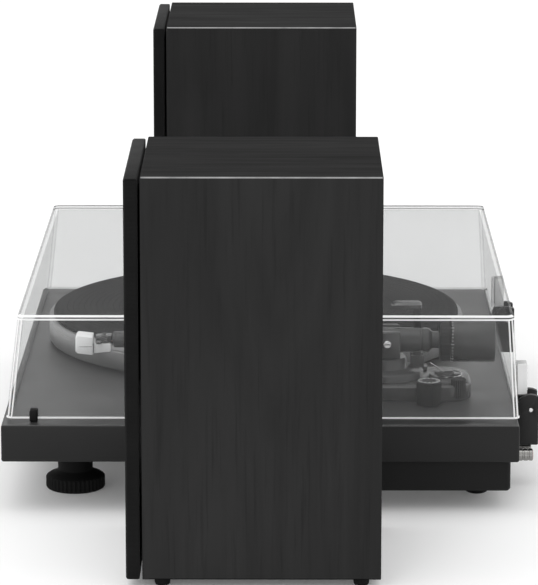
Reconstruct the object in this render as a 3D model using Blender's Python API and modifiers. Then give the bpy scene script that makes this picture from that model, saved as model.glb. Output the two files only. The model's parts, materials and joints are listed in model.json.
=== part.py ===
"""Mini hifi system: a belt-drive record player under a clear lid, with two bookshelf speakers.

Lengths are in millimetres in the constants and turned into metres by the helpers.
+Z is up, -Y is the front, +X is the tonearm side.  Z = 0 is the surface the feet stand on.
The named dimensions are measured from the middle of the plinth and from a level SHELF below;
SHIFT_Y centres the whole set front to back.
"""
import math

import bmesh
import bpy
from mathutils import Matrix, Vector

# ---------------------------------------------------------------- driving dimensions (mm)
MM = 0.001
SHIFT_Y = -8.45           # moves the plinth so the whole object is centred front to back
SHELF = -3.0              # level of the feet in the heights below
GAP = 0.3                 # clearance between neighbouring pieces

PLINTH_W, PLINTH_D = 436.0, 343.0
PLINTH_Z0, PLINTH_Z1 = 31.0, 56.0
TRAY_W, TRAY_Y0, TRAY_Y1 = 424.0, -60.0, 166.2
TRAY_Z0, TRAY_Z1, TRAY_WALL = 10.0, 30.7, 2.5

FOOT_X, FOOT_Y = 155.0, -126.0
FOOT_R, NECK_R = 20.0, 11.8
REAR_FOOT_X, REAR_FOOT_Y, REAR_FOOT_R = 165.0, 146.0, 8.5

SPINDLE_X, SPINDLE_Y = -48.0, -5.0
PLATTER_R, PLATTER_Z0, PLATTER_Z1 = 150.5, 58.2, 75.4
MAT_R, MAT_Z0, MAT_Z1 = 147.0, 75.9, 80.2
BELT_RING_R, BELT_T, BELT_H, BELT_Z = 100.0, 0.9, 5.0, 63.2
PULLEY_R, PULLEY_DIST, PULLEY_ANGLE = 7.0, 120.0, math.radians(135.0)
PULLEY_X = SPINDLE_X + PULLEY_DIST * math.cos(PULLEY_ANGLE)
PULLEY_Y = SPINDLE_Y + PULLEY_DIST * math.sin(PULLEY_ANGLE)

ARM_X, ARM_Y, ARM_Z = 116.0, 86.0, 91.3
HEAD_Z = 90.6             # underside of the headshell plate
REST_Y = -2.0             # arm rest, across the tube

LID_W, LID_TOP_W = 416.0, 395.0
LID_Y0, LID_Y1 = -168.6, 172.0
LID_TOP_Y0, LID_TOP_Y1 = -160.9, 167.9
LID_Z0, LID_Z1, LID_T, LID_R = 58.4, 125.9, 3.0, 5.0
HINGE_X, HINGE_Y, HINGE_Z = 140.0, 183.0, 50.4
HINGE_R, EAR_T, EAR_IN = 10.5, 4.6, 7.0
PIN_R = 1.5

SPEAKER_X = 324.0         # middle of each speaker
SPEAKER_BACK = {"left": -4.6, "right": 0.0}   # the left one stands a little further forward
SPEAKER_W, SPEAKER_D0, SPEAKER_D1 = 146.0, -71.4, 75.8
SPEAKER_Z0, SPEAKER_Z1, BOARD = 3.2, 255.3, 12.0
GRILLE_T, GRILLE_GAP, GRILLE_DROP = 8.5, 1.6, 1.2
SPEAKER_FOOT_R, SPEAKER_FOOT_IN = 5.0, 12.0
WOOFER_Z, WOOFER_R = 92.0, 48.0
TWEETER_Z, TWEETER_R = 190.0, 19.0

COLOURS = {
    "vinyl_black": ((0.030, 0.030, 0.031), 0.55, 0.0),
    "deck_black": ((0.045, 0.045, 0.047), 0.42, 0.0),
    "plastic_black": ((0.018, 0.018, 0.019), 0.45, 0.0),
    "rubber_black": ((0.014, 0.014, 0.014), 0.85, 0.0),
    "mat_rubber": ((0.050, 0.050, 0.051), 0.80, 0.0),
    "cloth_black": ((0.010, 0.010, 0.011), 0.95, 0.0),
    "acrylic_clear": ((0.92, 0.94, 0.95), 0.05, 0.0),
    "platter_aluminium": ((0.62, 0.62, 0.63), 0.32, 1.0),
    "steel_bright": ((0.70, 0.70, 0.71), 0.22, 1.0),
    "nickel": ((0.62, 0.61, 0.58), 0.25, 1.0),
    "arm_black": ((0.030, 0.030, 0.032), 0.30, 0.0),
    "weight_black": ((0.035, 0.035, 0.037), 0.28, 0.0),
    "cartridge_white": ((0.80, 0.80, 0.79), 0.35, 0.0),
    "board_green": ((0.02, 0.12, 0.05), 0.55, 0.0),
    "cone_paper": ((0.020, 0.020, 0.021), 0.75, 0.0),
    "basket_steel": ((0.10, 0.10, 0.105), 0.45, 1.0),
    "belt_rubber": ((0.020, 0.020, 0.020), 0.65, 0.0),
    "dial_grey": ((0.33, 0.33, 0.34), 0.35, 0.0),
}

# ---------------------------------------------------------------- scene and helpers
for old in list(bpy.data.objects):
    bpy.data.objects.remove(old, do_unlink=True)

PARTS = bpy.data.collections.new("mini_hifi_system")
CUTTERS = bpy.data.collections.new("cutters")
bpy.context.scene.collection.children.link(PARTS)
bpy.context.scene.collection.children.link(CUTTERS)


def material(name):
    """A Principled material made once for each name in COLOURS."""
    found = bpy.data.materials.get(name)
    if found:
        return found
    colour, rough, metal = COLOURS[name]
    made = bpy.data.materials.new(name)
    made.use_nodes = True
    shader = made.node_tree.nodes["Principled BSDF"]
    shader.inputs["Base Color"].default_value = (*colour, 1.0)
    shader.inputs["Roughness"].default_value = rough
    shader.inputs["Metallic"].default_value = metal
    if name == "acrylic_clear":
        shader.inputs["Transmission Weight"].default_value = 1.0
        shader.inputs["IOR"].default_value = 1.49
    return made


def world(point):
    return Vector((point[0], point[1] + SHIFT_Y, point[2] - SHELF)) * MM


def add(name, bm, mat, origin=(0.0, 0.0, 0.0), smooth=False):
    """Bring a bmesh made in millimetres round `origin` into the scene."""
    bmesh.ops.scale(bm, vec=(MM, MM, MM), verts=bm.verts)
    if bm.faces:
        bmesh.ops.recalc_face_normals(bm, faces=bm.faces)
    mesh = bpy.data.meshes.new(name)
    bm.to_mesh(mesh)
    bm.free()
    obj = bpy.data.objects.new(name, mesh)
    obj.location = world(origin)
    if mat:
        mesh.materials.append(material(mat))
        PARTS.objects.link(obj)
    else:
        obj.hide_render = True
        obj.display_type = "WIRE"
        CUTTERS.objects.link(obj)
    for face in mesh.polygons:
        face.use_smooth = smooth
    return obj


def loft(name, mat, loops, origin=(0.0, 0.0, 0.0), smooth=False):
    """A closed body through matching loops of points, capped at the first and the last."""
    bm = bmesh.new()
    rings = [[bm.verts.new(Vector(p) - Vector(origin)) for p in loop] for loop in loops]
    count = len(rings[0])
    for low, high in zip(rings, rings[1:]):
        for i in range(count):
            j = (i + 1) % count
            bm.faces.new((low[i], low[j], high[j], high[i]))
    bm.faces.new(rings[0])
    bm.faces.new(rings[-1])
    return add(name, bm, mat, origin, smooth)


def rounded(x0, x1, y0, y1, z, r=0.0, steps=3):
    """Points of a rectangle with rounded corners, flat at height z."""
    points = []
    corners = ((x1 - r, y1 - r, 0), (x0 + r, y1 - r, 1), (x0 + r, y0 + r, 2), (x1 - r, y0 + r, 3))
    for cx, cy, quarter in corners:
        for k in range(steps + 1):
            a = math.pi / 2 * (quarter + k / steps)
            points.append((cx + r * math.cos(a), cy + r * math.sin(a), z))
    return points


def slab(name, mat, xs, ys, zs, bevel=0.0, origin=None, segments=2):
    """A box between three pairs of limits, with a bevel on its edges."""
    centre = Vector(((xs[0] + xs[1]) / 2, (ys[0] + ys[1]) / 2, (zs[0] + zs[1]) / 2))
    origin = Vector(origin) if origin else centre
    bm = bmesh.new()
    bmesh.ops.create_cube(bm, size=1.0)
    size = (xs[1] - xs[0], ys[1] - ys[0], zs[1] - zs[0])
    bmesh.ops.scale(bm, vec=size, verts=bm.verts)
    bmesh.ops.translate(bm, vec=centre - origin, verts=bm.verts)
    obj = add(name, bm, mat, origin)
    if bevel:
        soften(obj, bevel, segments)
    return obj


def soften(obj, width, segments=2, angle=40.0):
    mod = obj.modifiers.new("edge", "BEVEL")
    mod.width = width * MM
    mod.segments = segments
    mod.limit_method = "ANGLE"
    mod.angle_limit = math.radians(angle)


AXES = {
    "Z": Matrix.Identity(4),
    "Y": Matrix.Rotation(-math.pi / 2, 4, "X"),
    "-Y": Matrix.Rotation(math.pi / 2, 4, "X"),
    "X": Matrix.Rotation(math.pi / 2, 4, "Y"),
}


def turned(name, mat, profile, origin, axis="Z", steps=32, smooth=True, closed=False):
    """A turned piece.  The profile is (radius, height) down the outside from top to bottom."""
    bm = bmesh.new()
    verts = [bm.verts.new((r, 0.0, z)) for r, z in profile]
    for a, b in zip(verts, verts[1:]):
        bm.edges.new((a, b))
    if closed:
        bm.edges.new((verts[-1], verts[0]))
    obj = add(name, bm, mat, origin)
    mod = obj.modifiers.new("turn", "SCREW")
    mod.steps = steps
    mod.render_steps = steps
    mod.use_merge_vertices = True
    mod.merge_threshold = 0.00001
    mod.use_smooth_shade = smooth
    obj.rotation_euler = AXES[axis].to_euler()
    return obj


def knurled(name, mat, profile, origin, ribs, depth, axis="Z", smooth=False):
    """A turned piece with grip ribs: profile rows are (radius, height, ribbed)."""
    loops = []
    for r, z, ribbed in profile:
        loop = []
        for i in range(ribs * 2):
            a = math.pi * i / ribs
            reach = r - (depth if ribbed and i % 2 else 0.0)
            loop.append((reach * math.cos(a), reach * math.sin(a), z))
        loops.append(loop)
    obj = loft(name, mat, loops, smooth=smooth)
    obj.location = world(origin)
    obj.rotation_euler = AXES[axis].to_euler()
    return obj


def rod(name, mat, radius, z0, z1, origin, axis="Z", steps=32):
    """A plain cylinder between two heights along an axis."""
    profile = ((0.0, z1), (radius, z1), (radius, z0), (0.0, z0))
    return turned(name, mat, profile, origin, axis, steps)


def combine(obj, other, operation="DIFFERENCE"):
    mod = obj.modifiers.new(other.name, "BOOLEAN")
    mod.operation = operation
    mod.solver = "EXACT"
    mod.object = other
    return obj


def solid_rod(name, radius, z0, z1, origin, axis="Z", steps=32):
    """A cylinder as a finished mesh, used to cut or to join."""
    bm = bmesh.new()
    bmesh.ops.create_cone(bm, cap_ends=True, segments=steps, radius1=radius, radius2=radius,
                          depth=z1 - z0)
    bmesh.ops.translate(bm, vec=(0.0, 0.0, (z0 + z1) / 2), verts=bm.verts)
    bmesh.ops.transform(bm, matrix=AXES[axis], verts=bm.verts)
    return add(name, bm, None, origin)


def bore(obj, name, radius, z0, z1, origin, axis="Z", steps=32):
    return combine(obj, solid_rod(name, radius, z0, z1, origin, axis, steps))


def boss(obj, name, radius, z0, z1, origin, axis="Z", steps=32):
    return combine(obj, solid_rod(name, radius, z0, z1, origin, axis, steps), "UNION")


def notch(obj, name, xs, ys, zs):
    return combine(obj, slab(name, None, xs, ys, zs))


def block(obj, name, xs, ys, zs):
    return combine(obj, slab(name, None, xs, ys, zs), "UNION")


SIDES = (("left", -1.0), ("right", 1.0))

# ---------------------------------------------------------------- plinth, tray and feet
KNOB_X, VOLUME_Y, SPEED_Y = 168.0, -62.0, -12.0
half = PLINTH_W / 2
plinth = slab("plinth", "deck_black", (-half, half), (-PLINTH_D / 2, PLINTH_D / 2),
              (PLINTH_Z0, PLINTH_Z1), bevel=1.5)
bore(plinth, "cut_motor", 18.0, PLINTH_Z0 - 2, PLINTH_Z1 + 2, (PULLEY_X, PULLEY_Y, 0), steps=40)
bore(plinth, "cut_bearing", 11.3, PLINTH_Z0 - 2, PLINTH_Z1 + 2, (SPINDLE_X, SPINDLE_Y, 0))
for label, y in (("volume", VOLUME_Y), ("speed", SPEED_Y)):
    bore(plinth, "cut_" + label, 3.4, 46.0, PLINTH_Z1 + 2, (KNOB_X, y, 0), steps=20)
for side, sign in SIDES:
    bore(plinth, "cut_stud_" + side, 4.4, PLINTH_Z0 - 2, 46.0, (sign * FOOT_X, FOOT_Y, 0), steps=20)

tray_half = TRAY_W / 2
inner = TRAY_WALL
tray = loft("base_tray", "plastic_black", [
    rounded(-tray_half + inner, tray_half - inner, TRAY_Y0 + inner, TRAY_Y1 - inner,
            TRAY_Z0 + inner, 1.0),
    rounded(-tray_half + inner, tray_half - inner, TRAY_Y0 + inner, TRAY_Y1 - inner, TRAY_Z1, 1.0),
    rounded(-tray_half, tray_half, TRAY_Y0, TRAY_Y1, TRAY_Z1, 2.5),
    rounded(-tray_half, tray_half, TRAY_Y0, TRAY_Y1, TRAY_Z0 + 1.5, 2.5),
    rounded(-tray_half + 1.2, tray_half - 1.2, TRAY_Y0 + 1.2, TRAY_Y1 - 1.2, TRAY_Z0, 2.0),
])
JACK_Z, JACK_XS = 19.0, (150.0, 130.0)
for i, x in enumerate(JACK_XS):
    bore(tray, f"cut_jack_{i}", 3.6, 150.0, 172.0, (x, 0, JACK_Z), "Y", steps=20)
DC_X, SWITCH_X, SWITCH_Z = -120.0, -160.0, 20.0
notch(tray, "cut_dc", (DC_X - 6, DC_X + 6), (155, 172), (12.6, 24.5))
notch(tray, "cut_switch", (SWITCH_X - 7.3, SWITCH_X + 7.3), (155, 172), (15.7, 24.3))

for side, sign in SIDES:
    knurled("front_foot_" + side, "rubber_black", (
        (3.9, 45.0, False), (3.9, 30.5, False), (NECK_R, 30.5, False), (NECK_R, 11.2, False),
        (13.2, 9.4, False), (17.4, 7.6, False), (FOOT_R, 5.6, True), (FOOT_R, -1.4, True),
        (19.2, -2.4, False), (17.8, SHELF, False),
    ), (sign * FOOT_X, FOOT_Y, 0), ribs=20, depth=1.4)
    turned("rear_foot_" + side, "rubber_black", (
        (0.0, TRAY_Z0 - GAP), (REAR_FOOT_R, TRAY_Z0 - GAP), (REAR_FOOT_R, 2.2),
        (7.4, -1.4), (5.6, SHELF), (0.0, SHELF),
    ), (sign * REAR_FOOT_X, REAR_FOOT_Y, 0), steps=20)

# ---------------------------------------------------------------- platter drive
turned("bearing_housing", "steel_bright", (
    (3.9, 58.4), (20.0, 58.4), (20.0, 56.3), (11.0, 56.3), (11.0, 34.0), (3.9, 34.0),
), (SPINDLE_X, SPINDLE_Y, 0), steps=24, closed=True)
turned("spindle", "steel_bright", (
    (0.0, 94.2), (1.5, 93.8), (2.9, 92.0), (3.55, 89.0), (3.55, 36.0), (0.0, 36.0),
), (SPINDLE_X, SPINDLE_Y, 0), steps=24)
turned("platter", "platter_aluminium", (
    (3.9, PLATTER_Z1), (149.6, PLATTER_Z1), (PLATTER_R, PLATTER_Z1 - 0.9),
    (PLATTER_R, PLATTER_Z0 + 0.7), (149.8, PLATTER_Z0), (143.5, PLATTER_Z0), (142.5, 70.4),
    (BELT_RING_R, 70.4), (BELT_RING_R, 60.6), (95.0, 60.6), (94.0, 70.4), (22.0, 70.4),
    (16.0, 58.8), (3.9, 58.8),
), (SPINDLE_X, SPINDLE_Y, 0), steps=48, closed=True)
turned("platter_mat", "mat_rubber", (
    (3.9, MAT_Z1 - 1.4), (48.0, MAT_Z1 - 1.4), (49.5, MAT_Z1), (143.0, MAT_Z1), (MAT_R, MAT_Z1 - 1.6), (MAT_R, MAT_Z0),
    (3.9, MAT_Z0),
), (SPINDLE_X, SPINDLE_Y, 0), steps=48, closed=True)

turned("motor", "basket_steel", (
    (1.6, 57.6), (20.5, 57.6), (20.5, 56.3), (15.5, 56.3), (15.5, 32.0), (6.0, 30.0), (1.6, 30.0),
), (PULLEY_X, PULLEY_Y, 0), steps=24, closed=True)
turned("motor_pulley", "nickel", (
    (0.0, 69.4), (6.0, 69.4), (7.6, 69.0), (7.6, 68.6), (PULLEY_R, 68.0), (PULLEY_R, 62.0),
    (7.6, 61.4), (7.6, 60.6), (6.6, 60.0), (1.2, 60.0), (1.2, 40.0), (0.0, 40.0),
), (PULLEY_X, PULLEY_Y, 0), steps=20)


def belt_loop(extra, z, steps=18):
    """The run of the belt round the platter's drive ring and the pulley, `extra` clear of both."""
    big, small = BELT_RING_R + extra, PULLEY_R + extra
    lean = math.acos((big - small) / PULLEY_DIST)
    points = []
    for k in range(steps * 2 + 1):
        a = PULLEY_ANGLE + lean + (2 * math.pi - 2 * lean) * k / (steps * 2)
        points.append((SPINDLE_X + big * math.cos(a), SPINDLE_Y + big * math.sin(a), z))
    for k in range(8 + 1):
        a = PULLEY_ANGLE - lean + 2 * lean * k / 8
        points.append((PULLEY_X + small * math.cos(a), PULLEY_Y + small * math.sin(a), z))
    return points


belt_in, belt_out = 0.35, 0.35 + BELT_T
band = [belt_loop(belt_in, BELT_Z), belt_loop(belt_out, BELT_Z), belt_loop(belt_out, BELT_Z + BELT_H),
        belt_loop(belt_in, BELT_Z + BELT_H)]
bm = bmesh.new()
rings = [[bm.verts.new(p) for p in loop] for loop in band]
for row in range(4):
    low, high = rings[row], rings[(row + 1) % 4]
    for i in range(len(low)):
        j = (i + 1) % len(low)
        bm.faces.new((low[i], low[j], high[j], high[i]))
add("drive_belt", bm, "belt_rubber")

# ---------------------------------------------------------------- controls
knurled("volume_knob", "plastic_black", (
    (2.9, 47.0, False), (2.9, 56.4, False), (13.6, 56.4, True), (13.2, 69.0, True),
    (12.2, 70.0, False),
), (KNOB_X, VOLUME_Y, 0), ribs=22, depth=0.6)
speed = turned("speed_selector", "plastic_black", (
    (0.0, 62.0), (12.2, 62.0), (13.0, 61.2), (13.0, 56.4), (2.9, 56.4), (2.9, 47.0), (0.0, 47.0),
), (KNOB_X, SPEED_Y, 0), steps=32)
combine(speed, slab("join_speed_grip", None, (KNOB_X - 11.5, KNOB_X + 11.5),
                    (SPEED_Y - 2.6, SPEED_Y + 2.6), (61.0, 67.0)), "UNION")
block(slab("power_switch", "plastic_black", (SWITCH_X - 6.9, SWITCH_X + 6.9), (160.5, 168.4),
           (16.1, 23.9), bevel=0.6), "join_switch_stop", (SWITCH_X - 8.5, SWITCH_X + 8.5),
      (158.9, 160.9), (14.9, 25.1))
for i, x in enumerate(JACK_XS):
    turned(f"line_jack_{i + 1}", "nickel", (
        (0.0, 172.0), (2.0, 172.0), (2.0, 184.8), (4.2, 184.8), (4.2, 168.4), (6.0, 168.4),
        (6.0, 166.6), (3.2, 166.6), (3.2, 156.0), (0.0, 156.0),
    ), (x, 0, JACK_Z), "Y", steps=16)
board = slab("circuit_board", "board_green", (-140.0, 60.0), (60.0, 140.0), (12.8, 14.4))
block(board, "join_heatsink", (-60, -20), (70, 90), (14.0, 27.0))
block(board, "join_dc_inlet", (DC_X - 5.7, DC_X + 5.7), (132.0, 167.6), (12.9, 24.2))
bore(board, "cut_dc_socket", 3.2, 156.0, 170.0, (DC_X, 0, 19.5), "Y", steps=20)
for i in range(3):
    boss(board, f"join_capacitor_{i}", 5.0, 14.0, 26.0, (0.0 + 14 * i, 110.0, 0), steps=16)

# ---------------------------------------------------------------- tonearm
base = turned("tonearm_base", "arm_black", (
    (0.0, 80.0), (13.0, 80.0), (14.0, 79.0), (14.0, 72.5), (24.0, 71.5), (25.0, 70.5),
    (25.0, 58.0), (0.0, 58.0),
), (ARM_X, ARM_Y, 0), steps=28)
combine(base, loft("join_arm_plate", None, [
    rounded(92.0, 151.0, 58.0, 143.0, 56.3, 16.0, 4),
    rounded(92.0, 151.0, 58.0, 143.0, 65.6, 16.0, 4),
    rounded(93.4, 149.6, 59.4, 141.6, 67.0, 14.8, 4),
]), "UNION")
boss(base, "join_rear_drum", 11.0, 60.0, 70.6, (128.0, 126.0, 0), steps=20)
boss(base, "join_rear_cap", 6.6, 60.0, 72.4, (128.0, 125.0, 0), steps=16)
boss(base, "join_arm_lock", 4.6, 60.0, 71.0, (146.0, 134.0, 0), steps=16)
LIFT_X, LIFT_Y = 101.0, 65.0
bore(base, "cut_lift_bore", 3.3, 58.0, 90.0, (LIFT_X, LIFT_Y, 0), steps=16)

knurled("anti_skate_dial", "dial_grey", (
    (7.9, 56.3, False), (8.4, 56.8, True), (8.4, 72.0, True), (7.4, 73.0, False),
), (160.0, 113.5, 0), ribs=24, depth=0.5)

# The yoke turns about the upright axis and carries the arm between its two cheeks.
yoke = slab("tonearm_yoke", "arm_black", (ARM_X - 14.5, ARM_X + 14.5), (ARM_Y - 9.0, ARM_Y + 9.0),
            (80.4, 99.6), bevel=1.6, origin=(ARM_X, ARM_Y, 80.0))
notch(yoke, "cut_yoke_slot", (ARM_X - 10.0, ARM_X + 10.0), (ARM_Y - 20.0, ARM_Y + 20.0), (82.4, 120.0))
for side, sign in SIDES:
    start, end = (9.0, 15.6) if sign > 0 else (-15.6, -9.0)
    boss(yoke, "join_pivot_screw_" + side, 3.2, start, end, (ARM_X, ARM_Y, ARM_Z), "X", steps=20)

arm = turned("tonearm_tube", "arm_black", (
    (0.0, 46.0), (5.7, 46.0), (5.7, 30.0), (7.4, 29.4), (8.4, 28.0), (8.4, -10.0), (7.4, -11.6),
    (4.75, -12.4), (4.75, -188.0), (0.0, -188.0),
), (ARM_X, ARM_Y, ARM_Z), "Y", steps=20)
head = loft("headshell", "arm_black", [
    [(ARM_X + sx * w, y, HEAD_Z + top) for sx, top in ((-1, 0), (1, 0), (1, t), (-1, t))]
    for y, w, t in ((-102.4, 4.4, 4.2), (-105.0, 6.4, 4.0), (-113.6, 6.4, 3.4))
])
combine(head, slab("join_finger_lift", None, (ARM_X + 5.0, ARM_X + 16.0), (-112.4, -108.8),
                   (HEAD_Z + 0.8, HEAD_Z + 2.0)), "UNION")
cartridge = loft("cartridge", "cartridge_white", [
    [(ARM_X + sx * w, y, z) for sx, z in ((-1, z0), (1, z0), (1, z1), (-1, z1))]
    for y, w, z0, z1 in ((-103.0, 6.2, 84.0, 89.6), (-114.6, 6.8, 83.0, 90.3),
                         (-115.2, 8.2, 82.0, 94.2), (-125.6, 8.2, 83.2, 95.4), (-127.0, 7.6, 84.6, 94.0))
])
combine(cartridge, loft("join_stylus", None, [
    [(ARM_X + sx * w, y, z) for sx, z in ((-1, z0), (1, z0), (1, 85.0), (-1, 85.0))]
    for y, w, z0 in ((-116.2, 3.0, 82.2), (-121.2, 2.6, 81.4), (-123.6, 1.8, 82.4))
]), "UNION")

turned("counterweight", "weight_black", (
    (6.0, 74.0), (14.2, 74.0), (15.0, 73.2), (15.0, 44.4), (14.2, 43.8), (6.0, 43.8),
), (ARM_X, ARM_Y, ARM_Z), "Y", steps=28, closed=True)
turned("tracking_force_ring", "plastic_black", (
    (6.0, 43.4), (13.8, 43.4), (14.6, 42.7), (14.6, 36.0), (6.0, 36.0),
), (ARM_X, ARM_Y, ARM_Z), "Y", steps=28, closed=True)

rest = slab("arm_rest", "plastic_black", (ARM_X - 10, ARM_X + 10), (REST_Y - 5, REST_Y + 5),
            (56.3, 58.6), bevel=0.6)
block(rest, "join_rest_post", (ARM_X - 4, ARM_X + 4), (REST_Y - 3, REST_Y + 3), (57.5, 85.0))
block(rest, "join_rest_cradle", (ARM_X - 8.5, ARM_X + 8.5), (REST_Y - 3, REST_Y + 3),
      (80.0, ARM_Z))
notch(rest, "cut_rest_shelf", (ARM_X - 20.0, ARM_X + 5.3), (REST_Y - 10, REST_Y + 10), (ARM_Z - 5.3, 110.0))

CLIP_X, CLIP_Z = ARM_X + 10.4, ARM_Z - 1.9
clip = slab("arm_clip", "plastic_black", (CLIP_X - 1.4, CLIP_X + 1.4), (REST_Y - 2.4, REST_Y + 2.4),
            (CLIP_Z - 1.2, ARM_Z + 12.4), origin=(CLIP_X, REST_Y, CLIP_Z))
block(clip, "join_clip_hook", (ARM_X - 6.0, CLIP_X + 1.4), (REST_Y - 2.4, REST_Y + 2.4),
      (ARM_Z + 10.6, ARM_Z + 12.8))

# Cueing: a lever to the left of the pivot and the bar that lifts the arm from below.
LEVER_X, LEVER_Y, LEVER_Z = 97.0, 107.5, 73.0
block(base, "join_lever_block", (LEVER_X - 5.5, LEVER_X + 5.5), (LEVER_Y - 7.0, LEVER_Y + 7.0),
      (60.0, 69.0))
for side, sign in SIDES:
    xs = sorted((LEVER_X + sign * 3.3, LEVER_X + sign * 5.5))
    block(base, "join_lever_ear_" + side, xs, (LEVER_Y - 4.5, LEVER_Y + 4.5), (68.0, 77.0))
lever = slab("cue_lever", "plastic_black", (LEVER_X - 2.7, LEVER_X + 2.7),
             (LEVER_Y - 2.6, LEVER_Y + 2.6), (70.4, 110.6), origin=(LEVER_X, LEVER_Y, LEVER_Z))
notch(lever, "cut_lever_slot", (LEVER_X - 1.0, LEVER_X + 9.0), (LEVER_Y - 1.1, LEVER_Y + 1.1),
      (81.0, 107.5))
combine(lever, loft("join_lever_tab", None, [
    rounded(LEVER_X - 6.0, LEVER_X + 6.0, LEVER_Y - 18.0, LEVER_Y + 3.0, 109.6, 3.0),
    rounded(LEVER_X - 6.0, LEVER_X + 6.0, LEVER_Y - 18.0, LEVER_Y + 3.0, 112.4, 3.0),
    rounded(LEVER_X - 4.8, LEVER_X + 4.8, LEVER_Y - 15.0, LEVER_Y + 1.8, 113.8, 2.4),
]), "UNION")
lift = rod("cue_lift", "steel_bright", 2.9, 62.0, 80.4, (LIFT_X, LIFT_Y, 0), steps=16)
block(lift, "join_lift_bar", (LIFT_X - 9.0, ARM_X + 8.0), (LIFT_Y - 3.0, LIFT_Y + 3.0), (79.0, 81.2))

# ---------------------------------------------------------------- clear lid, hinges, bumpers
def lid_loop(inset, level, steps=3):
    """Outline of the lid at a height fraction, `inset` in from the outer wall."""
    w = LID_W / 2 + (LID_TOP_W - LID_W) / 2 * level - inset
    y0 = LID_Y0 + (LID_TOP_Y0 - LID_Y0) * level + inset
    y1 = LID_Y1 + (LID_TOP_Y1 - LID_Y1) * level - inset
    z = LID_Z0 + (LID_Z1 - LID_Z0) * level
    return rounded(-w, w, y0, y1, z, max(LID_R - inset, 0.8), steps)


def at_height(loop, z):
    return [(x, y, z) for x, y, _ in loop]


lid = loft("dust_cover", "acrylic_clear", [
    at_height(lid_loop(LID_T + 0.6, 1.0), LID_Z1 - LID_T),
    at_height(lid_loop(LID_T, 0.93), LID_Z1 - LID_T - 1.0),
    lid_loop(LID_T, 0.0),
    lid_loop(0.0, 0.0),
    at_height(lid_loop(0.0, 0.985), LID_Z1 - 1.2),
    at_height(lid_loop(1.2, 1.0), LID_Z1),
], origin=(0.0, HINGE_Y, HINGE_Z))
for side, sign in SIDES:
    x = sign * HINGE_X
    block(lid, "join_socket_" + side, (x - 6.0, x + 6.0), (169.4, 180.8), (58.6, 81.5))
    boss(lid, "join_eye_" + side, 5.0, x - 6.0, x + 6.0, (0, HINGE_Y, HINGE_Z), "X", steps=20)
    block(lid, "join_neck_" + side, (x - 6.0, x + 6.0), (177.0, 180.8), (52.0, 60.0))
for side, sign in SIDES:
    bore(lid, "cut_eye_" + side, PIN_R + GAP, sign * HINGE_X - 9.0, sign * HINGE_X + 9.0,
         (0, HINGE_Y, HINGE_Z), "X", steps=16)

for side, sign in SIDES:
    x = sign * HINGE_X
    body = slab("hinge_base_" + side, "plastic_black", (x - EAR_IN - EAR_T, x + EAR_IN + EAR_T),
                (172.5, 188.4), (26.0, 50.4), bevel=1.0)
    boss(body, "join_ears_" + side, HINGE_R, x - EAR_IN - EAR_T, x + EAR_IN + EAR_T,
         (0, HINGE_Y, HINGE_Z), "X", steps=24)
    notch(body, "trim_rear_" + side, (x - 20, x + 20), (188.4, 200.0), (20.0, 80.0))
    notch(body, "cut_fork_" + side, (x - EAR_IN + 0.4, x + EAR_IN - 0.4), (160.0, 200.0), (44.4, 70.0))
    bore(body, "cut_pin_" + side, PIN_R + GAP, x - 20.0, x + 20.0, (0, HINGE_Y, HINGE_Z), "X", steps=16)
    reach = EAR_IN + EAR_T + 0.5
    rod("hinge_pin_" + side, "steel_bright", PIN_R, x - reach, x + reach, (0, HINGE_Y, HINGE_Z), "X",
        steps=16)

# One bumper, at the right front corner: the photo shows the other corner bare.
bumper = slab("lid_bumper", "rubber_black", (LID_W / 2 - LID_T - 3.4, LID_W / 2 + 2.0),
              (-153.0, -147.6), (56.3, 64.4), bevel=1.0, origin=(0.0, HINGE_Y, HINGE_Z))
notch(bumper, "cut_bumper", (LID_W / 2 - LID_T - 1.7, LID_W / 2 + 0.3), (-160.0, -130.0),
      (LID_Z0 - 0.3, 70.0))

# ---------------------------------------------------------------- speakers
def across(name, mat, loops, x, z):
    """A loft whose loops are given looking at the front: (x, z) outlines at depths y."""
    turned_loops = [[(px + x, depth, pz + z) for px, pz, _ in loop] for depth, loop in loops]
    return loft(name, mat, turned_loops)


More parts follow.
